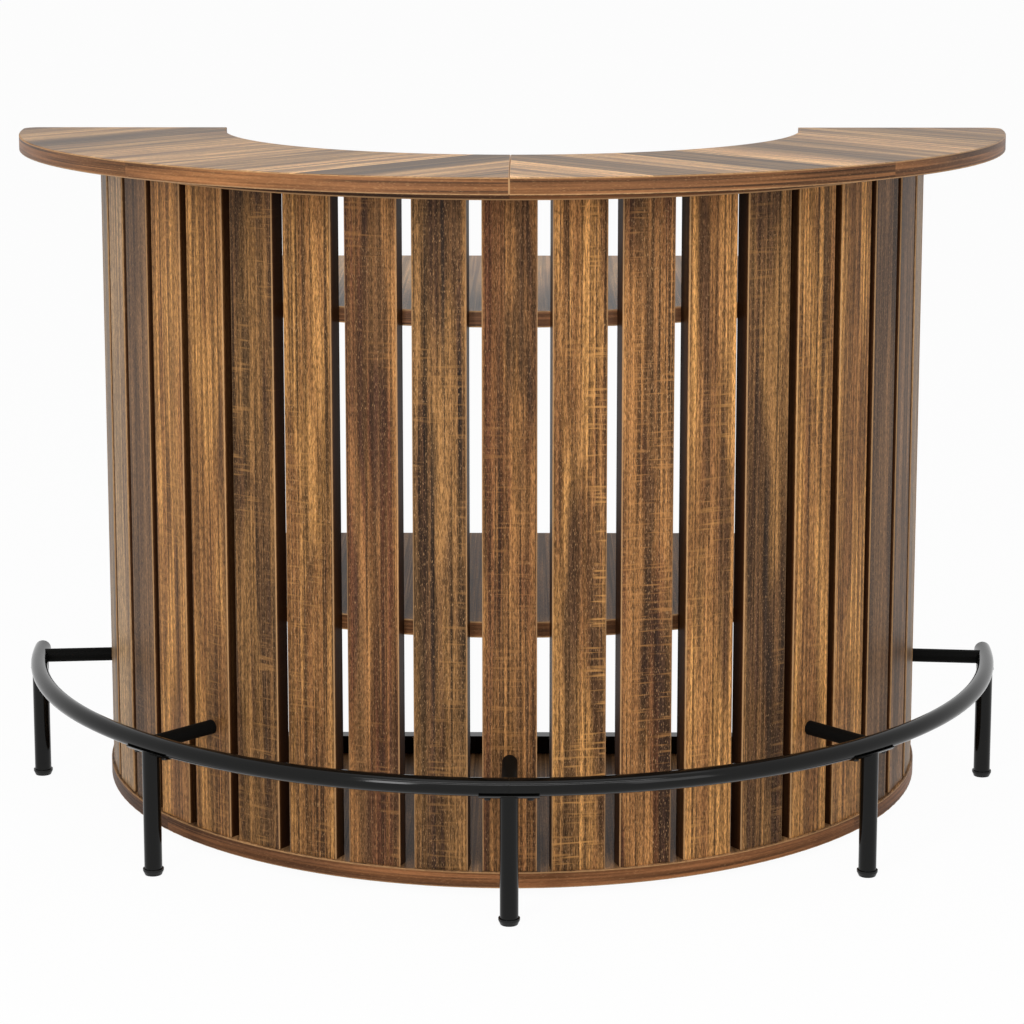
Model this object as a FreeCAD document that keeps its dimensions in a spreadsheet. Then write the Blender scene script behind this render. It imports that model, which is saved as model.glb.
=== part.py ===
import FreeCAD, Part
import Sketcher
import os
import re

from FreeCAD import Placement, Rotation, Vector

# Half-round bar table in millimetres and degrees. The slatted front faces -Y, the open working side +Y and the
# floor is z = 0. Two upright axes stand at x = 0: the top turns about TOP_Y, all the rest about ARC_Y.
# Angles run from the front towards +X.

DIMENSIONS = {
    "top_height": (1075, "floor to the upper face of the top"),
    "top_overhang": (127, "base radius to the outer edge of the top"),
    "recess_inset": (204, "base radius to the recess on the working side"),
    "body_setback": (15, "back edge of the top to that of the base"),
    "top_thickness": (25, "thickness of the top boards"),
    "top_corner_radius": (25, "rounding of the two outer back corners in plan"),
    "edge_radius": (1.5, "rounding of the boards' long edges"),
    "board_gap": (0.4, "joint line between neighbouring boards"),
    "ring_width": (129, "width of the ring plate under the top"),
    "upper_thickness": (19, "thickness of the ring plate"),
    "upper_seam_x": (338, "half width of the ring plate's middle section"),
    "base_radius": (673, "radius of the half-round base and of the ring plate"),
    "base_thickness": (25, "thickness of the base"),
    "base_clearance": (12, "floor to the underside of the base"),
    "slat_setback": (5, "base edge to the slats' outer faces"),
    "slat_width": (80, "width of a slat"),
    "slat_thickness": (25, "thickness of a slat"),
    "slat_chamfer": (1.6, "chamfer on a slat's two front edges"),
    "middle_slat_angle": (8.74, "angle between slats of the middle section"),
    "joint_slat_angle": (8.48, "angle across a joint of the ring plate"),
    "side_slat_angle": (8.3, "angle between slats of a side section"),
    "shelf_thickness": (24, "thickness of a shelf"),
    "shelf_seat": (1.2, "depth of the flats that seat a shelf on the slats"),
    "upper_shelf_drop": (207, "upper face of the top to that of the upper shelf"),
    "upper_shelf_back": (25, "back edge of the base to that of the upper shelf"),
    "lower_shelf_height": (409, "floor to the lower shelf's upper face"),
    "lower_shelf_back": (55, "back edge of the base to that of the lower shelf"),
    "bracket_leg": (40, "leg of a shelf bracket"),
    "bracket_width": (28, "width of a shelf bracket"),
    "bracket_thickness": (2.5, "sheet of a shelf bracket"),
    "bracket_hole": (26, "bend of a shelf bracket to its holes"),
    "bar_height": (30, "height of the rear bar"),
    "bar_depth": (24, "depth of the rear bar"),
    "bar_wall": (2, "wall of the rear bar"),
    "bar_back": (54, "back edge of the base to the rear bar"),
    "bar_end_inset": (80, "base radius to the rear bar's ends"),
    "bar_screw_x": (400, "rear bar's middle to its outer screws"),
    "rail_reach": (120, "slat faces to the centre line of the foot rail"),
    "rail_height": (204, "floor to the foot rail's centre line"),
    "rail_diameter": (27, "diameter of the foot rail"),
    "rail_wall": (1.5, "wall of the foot rail"),
    "rail_overrun": (46, "last leg to the end of the rail, along the arc"),
    "joiner_length": (90, "spigot inside the rail's front joint, along the arc"),
    "plug_depth": (8, "reach of an end plug into the rail"),
    "plug_crown": (6, "height of an end plug's rounded head"),
    "leg_diameter": (27, "diameter of a leg"),
    "leg_wall": (1.5, "wall of a leg"),
    "saddle_length": (86, "length of a saddle along the rail"),
    "saddle_sheet": (3, "sheet of the trough-shaped saddle under the rail"),
    "saddle_lip": (4.5, "height of a saddle's sides above the rail's underside"),
    "saddle_screw": (31, "leg to a saddle screw, along the arc"),
    "cap_height": (9.5, "height of a leg's foot cap"),
    "cap_sole": (3.5, "foot cap below the end of the leg"),
    "cap_lip": (2.25, "rim of a foot cap beyond the leg"),
    "cap_rim": (3, "height of a foot cap's rim"),
    "cap_taper": (3, "rim of a foot cap to its sole, in radius"),
    "stand_off_diameter": (22, "diameter of a stand-off bar"),
    "foot_diameter": (32, "diameter of a levelling foot at its rim"),
    "foot_taper": (5, "rim of a levelling foot to its sole, in radius"),
    "foot_rim": (3, "height of a levelling foot's rim"),
    "foot_gap": (0.2, "levelling foot to the base, screwed home"),
    "foot_inset": (30, "base edge to the front levelling feet"),
    "rear_foot_inset": (89, "base radius to the rear levelling feet, along the back"),
    "rear_foot_back": (45, "back edge of the base to the rear levelling feet"),
    "stem_diameter": (8, "threaded stem of a levelling foot"),
    "stem_length": (20, "reach of the stem into the base"),
    "stem_clearance": (0.06, "play of the stem in its insert, in radius"),
    "insert_diameter": (13, "threaded insert in the base"),
    "screw_diameter": (5, "shank of a wood screw"),
    "screw_head_diameter": (10, "head of a wood screw"),
    "screw_head_height": (3.5, "height of a wood screw's head"),
    "screw_sink": (1, "depth of a sunk head below the surface"),
    "screw_grip": (35, "reach of a screw into a slat's end"),
    "slat_screw_offset": (22, "slat's middle to its end screws"),
    "top_screw_inset": (89, "base radius to the screws that hold the top"),
    "top_screw_grip": (15, "reach of a screw into the top"),
    "small_screw_diameter": (4, "shank of a bracket or saddle screw"),
    "small_screw_head": (10, "head of a bracket or saddle screw"),
    "small_screw_head_height": (2.5, "height of a bracket or saddle screw's head"),
    "small_screw_grip": (14, "reach of a bracket screw into the wood"),
    "saddle_screw_grip": (9, "reach of a saddle screw into the rail"),
    "bolt_diameter": (8, "shank of a stand-off bolt"),
    "bolt_head_diameter": (16, "head of a stand-off bolt"),
    "bolt_head_height": (5, "height of a stand-off bolt's head"),
    "bolt_grip": (24, "reach of a bolt into its stand-off"),
    "fit_clearance": (0.1, "play round screws, plugs, inserts and tube ends, in radius"),
    "weld_gap": (0.15, "seat of a saddle or stand-off on the rail"),
}

SLATS_BESIDE_MIDDLE = 3
SLATS_PER_SIDE = 7
SLATS_EACH_WAY = SLATS_BESIDE_MIDDLE + SLATS_PER_SIDE
LEG_SLATS = (-10, -5, 0, 5, 10)
BRACKET_SLATS = (-9, -6, -3, 0, 3, 6, 9)
FRONT_FOOT_SLATS = (-7, 0, 7)
TOP_SCREW_ANGLES = (-80, -62, -46, -24, -9, 9, 24, 46, 62, 80)
DRILL_LEAD = 1

BASE_TOP = "(base_clearance + base_thickness)"
UPPER_TOP = "(top_height - top_thickness)"
UPPER_BOTTOM = f"({UPPER_TOP} - upper_thickness)"
SLAT_FACE = "(base_radius - slat_setback)"
SLAT_BACK = f"({SLAT_FACE} - slat_thickness)"
SLAT_CORE = f"({SLAT_FACE} - slat_thickness / 2)"
SINK = "(screw_head_height + screw_sink)"
RAIL_BOTTOM = "(rail_height - rail_diameter / 2)"
SADDLE_BOTTOM = f"({RAIL_BOTTOM} - saddle_sheet)"
RAIL_RADIUS = f"({SLAT_FACE} + rail_reach)"
TOP_RADIUS = "(base_radius + top_overhang)"
UPPER_SHELF_HEIGHT = "(top_height - upper_shelf_drop)"
TOP_Y = f"((body_setback + {RAIL_RADIUS} + leg_diameter / 2 + cap_lip) / 2)"
ARC_Y = f"({TOP_Y} - body_setback)"

doc = FreeCAD.newDocument("BarTable")
sheet = doc.addObject("Spreadsheet::Sheet", "Dimensions")
for row, (alias, (value, note)) in enumerate(DIMENSIONS.items(), 1):
    sheet.set(f"A{row}", note)
    sheet.set(f"B{row}", str(value))
    sheet.setAlias(f"B{row}", alias)
doc.recompute()

nodes = {}


def formula(text):
    """Writes each driving dimension in a formula as its cell."""
    def cell(word):
        return f"Dimensions.{word[0]}" if word[0] in DIMENSIONS else word[0]
    return re.sub(r"[A-Za-z_]\w*", cell, str(text))


def number(text):
    return float(sheet.evalExpression(formula(text)))


def degrees_along(length, radius=RAIL_RADIUS):
    """Angle that a length along an arc covers."""
    return f"({length} / {radius} * 180 / pi)"


def node(label, thing):
    thing.Label = label
    nodes[label] = thing
    return thing


def bind(thing, **formulas):
    for name, text in formulas.items():
        thing.setExpression(name, formula(text))
    return thing


def place(thing, x=0, y=ARC_Y, z=0, turn=0, tip=0):
    """Puts a thing at a point, tipped about its own X axis and then turned about Z."""
    spin = f"rotation(vector(0; 0; 1); {turn}) * rotation(vector(1; 0; 0); {tip})"
    return bind(thing, Placement=f"placement(vector({x}; {y}; {z}); {spin})")


def place_round(thing, radius, angle, z, tip=0):
    """Puts a thing on the arc, its own -Y axis pointing outwards."""
    x = f"({radius}) * sin({angle})"
    y = f"{ARC_Y} - ({radius}) * cos({angle})"
    return place(thing, x, y, z, angle, tip)


def primitive(kind, name, **sizes):
    return bind(doc.addObject(f"Part::{kind}", name), **sizes)


def boolean(kind, name, base, tool):
    thing = doc.addObject(f"Part::{kind}", name)
    thing.Base, thing.Tool = base, tool
    return thing


def sketch(body, role, points):
    """Closed outline on one of the body's own planes, each corner held by two formulas."""
    plane = next(item for item in body.Origin.OriginFeatures if item.Role == role)
    drawing = body.newObject("Sketcher::SketchObject", f"{body.Name}_outline")
    drawing.AttachmentSupport = [(plane, "")]
    drawing.MapMode = "FlatFace"
    corners = [Vector(number(x), number(y), 0) for x, y in points]
    for start, end in zip(corners, corners[1:] + corners[:1]):
        drawing.addGeometry(Part.LineSegment(start, end))
    for index, (x, y) in enumerate(points):
        following = (index + 1) % len(points)
        drawing.addConstraint(Sketcher.Constraint("Coincident", index, 2, following, 1))
        for kind, text, value in (("DistanceX", x, corners[index].x), ("DistanceY", y, corners[index].y)):
            held = drawing.addConstraint(Sketcher.Constraint(kind, -1, 1, index, 1, value))
            drawing.setExpression(f"Constraints[{held}]", formula(text))
    return drawing


def padded(name, role, points, length, midplane=False):
    body = doc.addObject("PartDesign::Body", name)
    pad = body.newObject("PartDesign::Pad", f"{name}_pad")
    pad.Profile = sketch(body, role, points)
    pad.Midplane = midplane
    return body, bind(pad, Length=length)


def turned(name, points):
    """Solid of revolution about Z from radius and height pairs."""
    body = doc.addObject("PartDesign::Body", name)
    profile = sketch(body, "XZ_Plane", points)
    revolution = body.newObject("PartDesign::Revolution", f"{name}_turn")
    revolution.Profile = profile
    revolution.ReferenceAxis = (profile, ["V_Axis"])
    return body


def screw(name, diameter, length, head_diameter, head_height):
    """Screw along +Z with the underside of its head at the origin."""
    return turned(name, [
        (0, f"-({head_height})"), (f"{head_diameter} / 2 - {head_height} / 4", f"-({head_height})"),
        (f"{head_diameter} / 2", f"-({head_height}) / 2"), (f"{head_diameter} / 2", 0),
        (f"{diameter} / 2", 0), (f"{diameter} / 2", length), (0, length)])


def spot(radius, angle, z, tip=0, aside=0):
    """Place on the arc: tip 0 points up, 90 outwards and 180 down; aside shifts it along the tangent."""
    turn = Rotation(Vector(0, 0, 1), number(angle))
    point = turn.multVec(Vector(number(aside), -number(radius), number(z)))
    tilt = Rotation(Vector(1, 0, 0), tip)
    return Placement(point + Vector(0, number(ARC_Y), 0), turn.multiply(tilt))


def copies(label, master, spots):
    """One node of separate solids: a master piece repeated at each spot."""
    doc.recompute()
    group = doc.addObject("Part::Feature", label)
    group.Shape = Part.makeCompound([
        master.Shape.transformed(place_at.toMatrix(), True) for place_at in spots])
    return node(label, group)


def drills(name, *rows):
    """Tool for a pattern of holes: rows of diameter, depth and spots at the holes' mouths."""
    tool = doc.addObject("Part::Feature", name)
    bits = []
    for diameter, depth, spots in rows:
        for place_at in spots:
            bit = Part.makeCylinder(number(f"{diameter} / 2 + fit_clearance"), number(depth) + DRILL_LEAD,
                                    Vector(0, 0, -DRILL_LEAD))
            bits.append(bit.transformed(place_at.toMatrix(), True))
    tool.Shape = Part.makeCompound(bits)
    return tool


def drilled(label, blank, *rows):
    return node(label, boolean("Cut", f"{label}_drilled", blank, drills(f"{label}_holes", *rows)))


def rounded(name, base, radius, wanted):
    """Fillet on the edges of a base that the wanted test picks."""
    doc.recompute()
    fillet = doc.addObject("Part::Fillet", name)
    fillet.Base = base
    size = number(radius)
    fillet.Edges = [(index, size, size) for index, edge in enumerate(base.Shape.Edges, 1) if wanted(edge)]
    return fillet


def rim_edges(shape):
    """Test for the edges of a board's upper and lower faces."""
    box = shape.BoundBox

    def wanted(edge):
        low, high = edge.BoundBox.ZMin, edge.BoundBox.ZMax
        flat = high - low < 1e-6
        return flat and (abs(low - box.ZMin) < 1e-6 or abs(high - box.ZMax) < 1e-6)
    return wanted


def slat_angle(place_in_row):
    """Angle of a slat, counted from the middle one, positive towards +X."""
    steps = abs(place_in_row)
    if steps <= SLATS_BESIDE_MIDDLE:
        angle = f"{steps} * middle_slat_angle"
    else:
        angle = (f"{SLATS_BESIDE_MIDDLE} * middle_slat_angle + joint_slat_angle"
                 f" + {steps - SLATS_BESIDE_MIDDLE - 1} * side_slat_angle")
    return f"({'-' if place_in_row < 0 else ''}({angle}))"


def half_disc(name, radius, height, z):
    disc = primitive("Cylinder", name, Radius=radius, Height=height)
    disc.Angle = 180
    return place(disc, z=z, turn=180)


SLAT_PLACES = range(-SLATS_EACH_WAY, SLATS_EACH_WAY + 1)
SCREW_SIDES = ("-slat_screw_offset", "slat_screw_offset")
SHELVES = {"upper_shelf": (UPPER_SHELF_HEIGHT, "upper_shelf_back"),
           "lower_shelf": ("lower_shelf_height", "lower_shelf_back")}


def shelf_underside(shelf):
    return f"({SHELVES[shelf][0]} - shelf_thickness)"


def slat_end_spots(z, tip):
    return [spot(SLAT_CORE, slat_angle(k), z, tip, aside) for k in SLAT_PLACES for aside in SCREW_SIDES]


def bracket_slat_spots(bracket_slats, shelf):
    z = f"{shelf_underside(shelf)} - bracket_hole"
    return [spot(f"{SLAT_BACK} - bracket_thickness", slat_angle(k), z, 90) for k in bracket_slats]


def bracket_shelf_spots(shelf):
    z = f"{shelf_underside(shelf)} - bracket_thickness"
    return [spot(f"{SLAT_BACK} - bracket_hole", slat_angle(k), z) for k in BRACKET_SLATS]


def saddle_spots(leg_slat):
    step = degrees_along("saddle_screw")
    return [spot(RAIL_RADIUS, f"{slat_angle(leg_slat)} + {side} * {step}", SADDLE_BOTTOM) for side in (-1, 1)]


TOP_SCREW_SPOTS = [spot("base_radius - top_screw_inset", angle, UPPER_BOTTOM) for angle in TOP_SCREW_ANGLES]
BAR_Y = f"({ARC_Y} - bar_back - bar_depth / 2)"
BAR_SCREW_SPOTS = [
    Placement(Vector(number(x), number(BAR_Y), number(f"base_clearance + {SINK}")), Rotation())
    for x in ("-bar_screw_x", 0, "bar_screw_x")]
STAND_OFF_SPOTS = [spot(SLAT_BACK, slat_angle(k), "rail_height", 90) for k in LEG_SLATS]
BASE_SCREW_LENGTH = f"({BASE_TOP} - base_clearance - {SINK} + screw_grip)"
BAR_SCREW_LENGTH = f"(base_thickness - {SINK} + 4 * bar_wall)"
UPPER_SCREW_LENGTH = f"(upper_thickness - {SINK} + screw_grip)"
TOP_SCREW_LENGTH = "(upper_thickness + top_screw_grip)"
BRACKET_SCREW_LENGTH = "(bracket_thickness + small_screw_grip)"
SADDLE_SCREW_LENGTH = "(saddle_sheet + saddle_screw_grip)"
BOLT_LENGTH = "(slat_thickness + bolt_grip)"


def make_top():
    for side, start in (("left", 180), ("right", 270)):
        quarter = primitive("Cylinder", f"top_{side}_disc", Radius=TOP_RADIUS, Height="top_thickness")
        quarter.Angle = 90
        place(quarter, y=TOP_Y, z=UPPER_TOP, turn=start)
        recess = primitive("Cylinder", f"top_{side}_recess", Radius="base_radius - recess_inset",
                           Height="top_thickness")
        place(recess, y=TOP_Y, z=UPPER_TOP)
        ring = boolean("Cut", f"top_{side}_ring", quarter, recess)
        seam = primitive("Box", f"top_{side}_seam", Length="board_gap", Width=f"2 * {TOP_RADIUS}",
                         Height="top_thickness")
        place(seam, "-board_gap / 2", f"{TOP_Y} - {TOP_RADIUS}", UPPER_TOP)
        board = boolean("Cut", f"top_{side}_square", ring, seam)
        reach = number(TOP_RADIUS)
        cornered = rounded(f"top_{side}_cornered", board, "top_corner_radius",
                           lambda edge: min(abs(v.X) for v in edge.Vertexes) > reach - 1e-3)
        doc.recompute()
        eased = rounded(f"top_{side}_eased", cornered, "edge_radius", rim_edges(cornered.Shape))
        own_spots = [s for s in TOP_SCREW_SPOTS if (s.Base.x < 0) == (side == "left")]
        drilled(f"top_board_{side}", eased, ("screw_diameter", TOP_SCREW_LENGTH, own_spots))


def make_upper_plate():
    disc = half_disc("upper_disc", "base_radius", "upper_thickness", UPPER_BOTTOM)
    bore = primitive("Cylinder", "upper_bore", Radius="base_radius - ring_width", Height="upper_thickness")
    place(bore, z=UPPER_BOTTOM)
    ring = boolean("Cut", "upper_ring", disc, bore)
    joint = "board_gap / 2"
    spans = {"left": ("-base_radius", f"-upper_seam_x - {joint}"),
             "middle": (f"-upper_seam_x + {joint}", f"upper_seam_x - {joint}"),
             "right": (f"upper_seam_x + {joint}", "base_radius")}
    for name, (low, high) in spans.items():
        window = primitive("Box", f"upper_{name}_window", Length=f"({high}) - ({low})",
                           Width="2 * base_radius",
                           Height="upper_thickness")
        place(window, low, f"{ARC_Y} - base_radius", UPPER_BOTTOM)
        section = boolean("Common", f"upper_{name}_section", ring, window)
        down = slat_end_spots(UPPER_TOP, 180)
        drilled(f"upper_plate_{name}", section, ("screw_diameter", "upper_thickness", down),
                ("screw_head_diameter", SINK, down), ("screw_diameter", "upper_thickness", TOP_SCREW_SPOTS))


def make_slats():
    blanks = []
    half = "slat_width / 2"
    outline = [(f"-{half} + slat_chamfer", 0), (f"{half} - slat_chamfer", 0), (half, "slat_chamfer"),
               (half, "slat_thickness"), (f"-{half}", "slat_thickness"), (f"-{half}", "slat_chamfer")]
    for number_in_row, k in enumerate(SLAT_PLACES, 1):
        label = f"slat_{number_in_row:02d}"
        blank, _ = padded(f"{label}_blank", "XY_Plane", outline, f"{UPPER_BOTTOM} - {BASE_TOP}")
        place_round(blank, SLAT_FACE, slat_angle(k), BASE_TOP)
        blanks.append(blank)
        ends = [spot(SLAT_CORE, slat_angle(k), z, tip, aside)
                for z, tip in ((BASE_TOP, 0), (UPPER_BOTTOM, 180)) for aside in SCREW_SIDES]
        rows = [("screw_diameter", "screw_grip", ends)]
        if k in BRACKET_SLATS:
            spots = bracket_slat_spots([k], "upper_shelf") + bracket_slat_spots([k], "lower_shelf")
            rows.append(("small_screw_diameter", BRACKET_SCREW_LENGTH, spots))
        if k in LEG_SLATS:
            spots = [spot(SLAT_BACK, slat_angle(k), "rail_height", 90)]
            rows.append(("bolt_diameter", f"slat_thickness + {DRILL_LEAD}", spots))
        drilled(label, blank, *rows)
    return blanks


def make_shelves(slat_blanks):
    wall = doc.addObject("Part::Compound", "slat_wall")
    wall.Links = slat_blanks
    reach = f"({SLAT_BACK} + shelf_seat)"
    for label, (height, back) in SHELVES.items():
        disc = half_disc(f"{label}_disc", reach, "shelf_thickness", shelf_underside(label))
        window = primitive("Box", f"{label}_window", Length=f"2 * {reach}", Width=f"{reach} - {back}",
                           Height="shelf_thickness")
        place(window, f"-{reach}", f"{ARC_Y} - {reach}", shelf_underside(label))
        board = boolean("Common", f"{label}_board", disc, window)
        seated = boolean("Cut", f"{label}_seated", board, wall)
        drilled(label, seated, ("small_screw_diameter", BRACKET_SCREW_LENGTH, bracket_shelf_spots(label)))


def make_brackets():
    leg, sheet_wall = "bracket_leg", "bracket_thickness"
    profile = [(0, 0), (leg, 0), (leg, f"-{sheet_wall}"), (sheet_wall, f"-{sheet_wall}"),
               (sheet_wall, f"-{leg}"), (0, f"-{leg}")]
    blank, _ = padded("bracket_blank", "YZ_Plane", profile, "bracket_width", midplane=True)
    up = Placement(Vector(0, number("bracket_hole"), -number(sheet_wall)), Rotation())
    out = Placement(Vector(0, number(sheet_wall), -number("bracket_hole")), Rotation(Vector(1, 0, 0), 90))
    holes = drills("bracket_holes", ("small_screw_diameter", f"{sheet_wall} + {DRILL_LEAD}", [up, out]))
    bracket = boolean("Cut", "bracket", blank, holes)
    copies("shelf_brackets", bracket, [
        spot(SLAT_BACK, slat_angle(k), shelf_underside(shelf)) for shelf in SHELVES for k in BRACKET_SLATS])
    fixing = screw("bracket_screw", "small_screw_diameter", BRACKET_SCREW_LENGTH, "small_screw_head",
                   "small_screw_head_height")
    copies("bracket_screws", fixing, [
        place_at for shelf in SHELVES
        for place_at in bracket_slat_spots(BRACKET_SLATS, shelf) + bracket_shelf_spots(shelf)])


def make_base():
    disc = half_disc("base_disc", "base_radius", "base_thickness", "base_clearance")
    doc.recompute()
    eased = rounded("base_eased", disc, "edge_radius", rim_edges(disc.Shape))
    up = slat_end_spots("base_clearance", 0) + [
        Placement(s.Base - Vector(0, 0, number(SINK)), s.Rotation) for s in BAR_SCREW_SPOTS]
    drilled("base_plate", eased, ("screw_diameter", f"base_thickness + {DRILL_LEAD}", up),
            ("screw_head_diameter", SINK, up),
            ("insert_diameter", INSERT_DEPTH, foot_spots("base_clearance")))


def make_rear_bar():
    length = "(2 * (base_radius - bar_end_inset))"
    outer = primitive("Box", "bar_outer", Length=length, Width="bar_depth", Height="bar_height")
    place(outer, f"-{length} / 2", f"{ARC_Y} - bar_back - bar_depth", BASE_TOP)
    inner = primitive("Box", "bar_inner", Length=length, Width="bar_depth - 2 * bar_wall",
                      Height="bar_height - 2 * bar_wall")
    place(inner, f"-{length} / 2", f"{ARC_Y} - bar_back - bar_depth + bar_wall", f"{BASE_TOP} + bar_wall")
    tube = boolean("Cut", "bar_tube", outer, inner)
    drilled("rear_bar", tube, ("screw_diameter", BAR_SCREW_LENGTH, BAR_SCREW_SPOTS))


def make_rail():
    seam = degrees_along("board_gap / 2")
    end = f"({slat_angle(LEG_SLATS[-1])} + {degrees_along('rail_overrun')})"
    bore = "(rail_diameter / 2 - rail_wall)"
    plug_radius = f"({bore} - fit_clearance)"
    for side, start in (("left", f"-90 - {end}"), ("right", f"-90 + {seam}")):
        tubes = []
        for name, radius in (("outer", "rail_diameter / 2"), ("bore", bore)):
            tube = primitive("Torus", f"rail_{side}_{name}", Radius1=RAIL_RADIUS, Radius2=radius,
                             Angle3=f"{end} - {seam}")
            tubes.append(place(tube, z="rail_height", turn=start))
        hollow = boolean("Cut", f"rail_{side}_tube", *tubes)
        spots = [s for k in LEG_SLATS for s in saddle_spots(k) if (s.Base.x < 0) == (side == "left")]
        drilled(f"foot_rail_{side}", hollow, ("small_screw_diameter", SADDLE_SCREW_LENGTH, spots))

    joiner_angle = degrees_along("joiner_length")
    spigot = primitive("Torus", "joiner_spigot", Radius1=RAIL_RADIUS, Radius2=plug_radius,
                       Angle3=joiner_angle)
    place(spigot, z="rail_height", turn=f"-90 - {joiner_angle} / 2")
    drilled("rail_joiner", spigot, ("small_screw_diameter", SADDLE_SCREW_LENGTH, saddle_spots(0)))

    shank = primitive("Cylinder", "plug_shank", Radius=plug_radius, Height="plug_depth")
    place(shank, y=0, z="-plug_depth")
    head = primitive("Cylinder", "plug_head", Radius="rail_diameter / 2", Height="plug_crown")
    crown = rounded("plug_crowned", head, "0.9 * plug_crown", lambda edge: edge.BoundBox.ZMin > 1e-6)
    plug = boolean("Fuse", "plug", crown, shank)
    spots = []
    for side in (-1, 1):
        mouth = spot(RAIL_RADIUS, f"{side} * {end}", "rail_height")
        spots.append(mouth.multiply(Placement(Vector(), Rotation(Vector(0, 1, 0), side * 90))))
    copies("rail_end_plugs", plug, spots)


def rail_ring(name, radius):
    """Full ring on the foot rail's centre line, to cut a seat for it."""
    return place(primitive("Torus", name, Radius1=RAIL_RADIUS, Radius2=radius), z="rail_height")


def make_legs():
    arc = degrees_along("saddle_length")
    for leg_number, k in enumerate(LEG_SLATS, 1):
        label = f"leg_{leg_number}"
        tubes = []
        for name, radius in (("outer", "leg_diameter / 2"), ("bore", "leg_diameter / 2 - leg_wall")):
            tube = primitive("Cylinder", f"{label}_{name}", Radius=radius, Height="rail_height - cap_sole")
            tubes.append(place_round(tube, RAIL_RADIUS, slat_angle(k), "cap_sole"))
        tube = boolean("Cut", f"{label}_tube", *tubes)
        cope = rail_ring(f"{label}_cope", "rail_diameter / 2 + saddle_sheet / 2")
        coped = boolean("Cut", f"{label}_coped", tube, cope)

        shell = primitive("Torus", f"{label}_shell", Radius1=RAIL_RADIUS,
                          Radius2="rail_diameter / 2 + saddle_sheet", Angle3=arc)
        place(shell, z="rail_height", turn=f"{slat_angle(k)} - 90 - {arc} / 2")
        welded = boolean("Fuse", f"{label}_welded", shell, coped)
        seat = rail_ring(f"{label}_seat", "rail_diameter / 2 + weld_gap")
        seated = boolean("Cut", f"{label}_seated", welded, seat)
        above = primitive("Cylinder", f"{label}_above", Radius=f"{RAIL_RADIUS} + 2 * rail_diameter",
                          Height="2 * rail_diameter")
        place(above, z=f"{RAIL_BOTTOM} + saddle_lip")
        trough = boolean("Cut", f"{label}_trough", seated, above)
        bar = primitive("Cylinder", f"{label}_bar", Radius="stand_off_diameter / 2 + weld_gap",
                        Height="rail_reach")
        place_round(bar, SLAT_FACE, slat_angle(k), "rail_height", 90)
        notched = boolean("Cut", f"{label}_notched", trough, bar)
        drilled(label, notched, ("small_screw_diameter", SADDLE_SCREW_LENGTH, saddle_spots(k)))


def make_leg_caps():
    socket = "leg_diameter / 2 + fit_clearance"
    rim = "leg_diameter / 2 + cap_lip"
    cap = turned("cap", [(0, 0), (f"{rim} - cap_taper", 0), (rim, "cap_height - cap_rim"),
                         (rim, "cap_height"),
                         (socket, "cap_height"), (socket, "cap_sole"), (0, "cap_sole")])
    copies("leg_caps", cap, [spot(RAIL_RADIUS, slat_angle(k), 0) for k in LEG_SLATS])


def make_stand_offs():
    for bar_number, k in enumerate(LEG_SLATS, 1):
        label = f"stand_off_{bar_number}"
        bar = primitive("Cylinder", f"{label}_bar", Radius="stand_off_diameter / 2",
                        Height="rail_reach")
        place_round(bar, SLAT_FACE, slat_angle(k), "rail_height", 90)
        rail = rail_ring(f"{label}_rail", "rail_diameter / 2 + weld_gap")
        coped = boolean("Cut", f"{label}_coped", bar, rail)
        drilled(label, coped, ("bolt_diameter", BOLT_LENGTH, [STAND_OFF_SPOTS[bar_number - 1]]))
    bolt = screw("stand_off_bolt", "bolt_diameter", BOLT_LENGTH, "bolt_head_diameter", "bolt_head_height")
    copies("stand_off_bolts", bolt, STAND_OFF_SPOTS)


INSERT_DEPTH = "(stem_length + 1)"


def foot_spots(z):
    """Places of the levelling feet, the front ones on the arc and the rear ones along the back."""
    front = [spot("base_radius - foot_inset", slat_angle(k), z) for k in FRONT_FOOT_SLATS]
    rear = [Placement(Vector(side * number("base_radius - rear_foot_inset"),
                             number(f"{ARC_Y} - rear_foot_back"), number(z)), Rotation()) for side in (-1, 1)]
    return front + rear


def make_levelling_feet():
    home = "base_clearance - foot_gap"
    stem = "stem_diameter / 2"
    rim = "foot_diameter / 2"
    profile = [(0, 0), (f"{rim} - foot_taper", 0), (rim, f"{home} - foot_rim"), (rim, home), (stem, home),
               (stem, "base_clearance + stem_length"), (0, "base_clearance + stem_length")]
    for foot_number, place_at in enumerate(foot_spots(0), 1):
        foot = turned(f"foot_{foot_number}", profile)
        foot.Placement = place_at
        node(f"levelling_foot_{foot_number}", foot)
    bore = f"{stem} + stem_clearance"
    insert = turned("insert", [(bore, 0), ("insert_diameter / 2", 0), ("insert_diameter / 2", INSERT_DEPTH),
                               (bore, INSERT_DEPTH)])
    copies("levelling_inserts", insert, foot_spots("base_clearance"))


def make_screws():
    def wood_screw(name, length):
        return screw(name, "screw_diameter", length, "screw_head_diameter", "screw_head_height")

    copies("base_screws", wood_screw("base_screw", BASE_SCREW_LENGTH),
           slat_end_spots(f"base_clearance + {SINK}", 0))
    copies("bar_screws", wood_screw("bar_screw", BAR_SCREW_LENGTH), BAR_SCREW_SPOTS)
    copies("upper_plate_screws", wood_screw("upper_screw", UPPER_SCREW_LENGTH),
           slat_end_spots(f"{UPPER_TOP} - {SINK}", 180))
    copies("top_board_screws", wood_screw("top_screw", TOP_SCREW_LENGTH), TOP_SCREW_SPOTS)
    saddle_screw = screw("saddle_screw_master", "small_screw_diameter", SADDLE_SCREW_LENGTH,
                         "small_screw_head",
                         "small_screw_head_height")
    copies("saddle_screws", saddle_screw, [s for k in LEG_SLATS for s in saddle_spots(k)])


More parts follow.
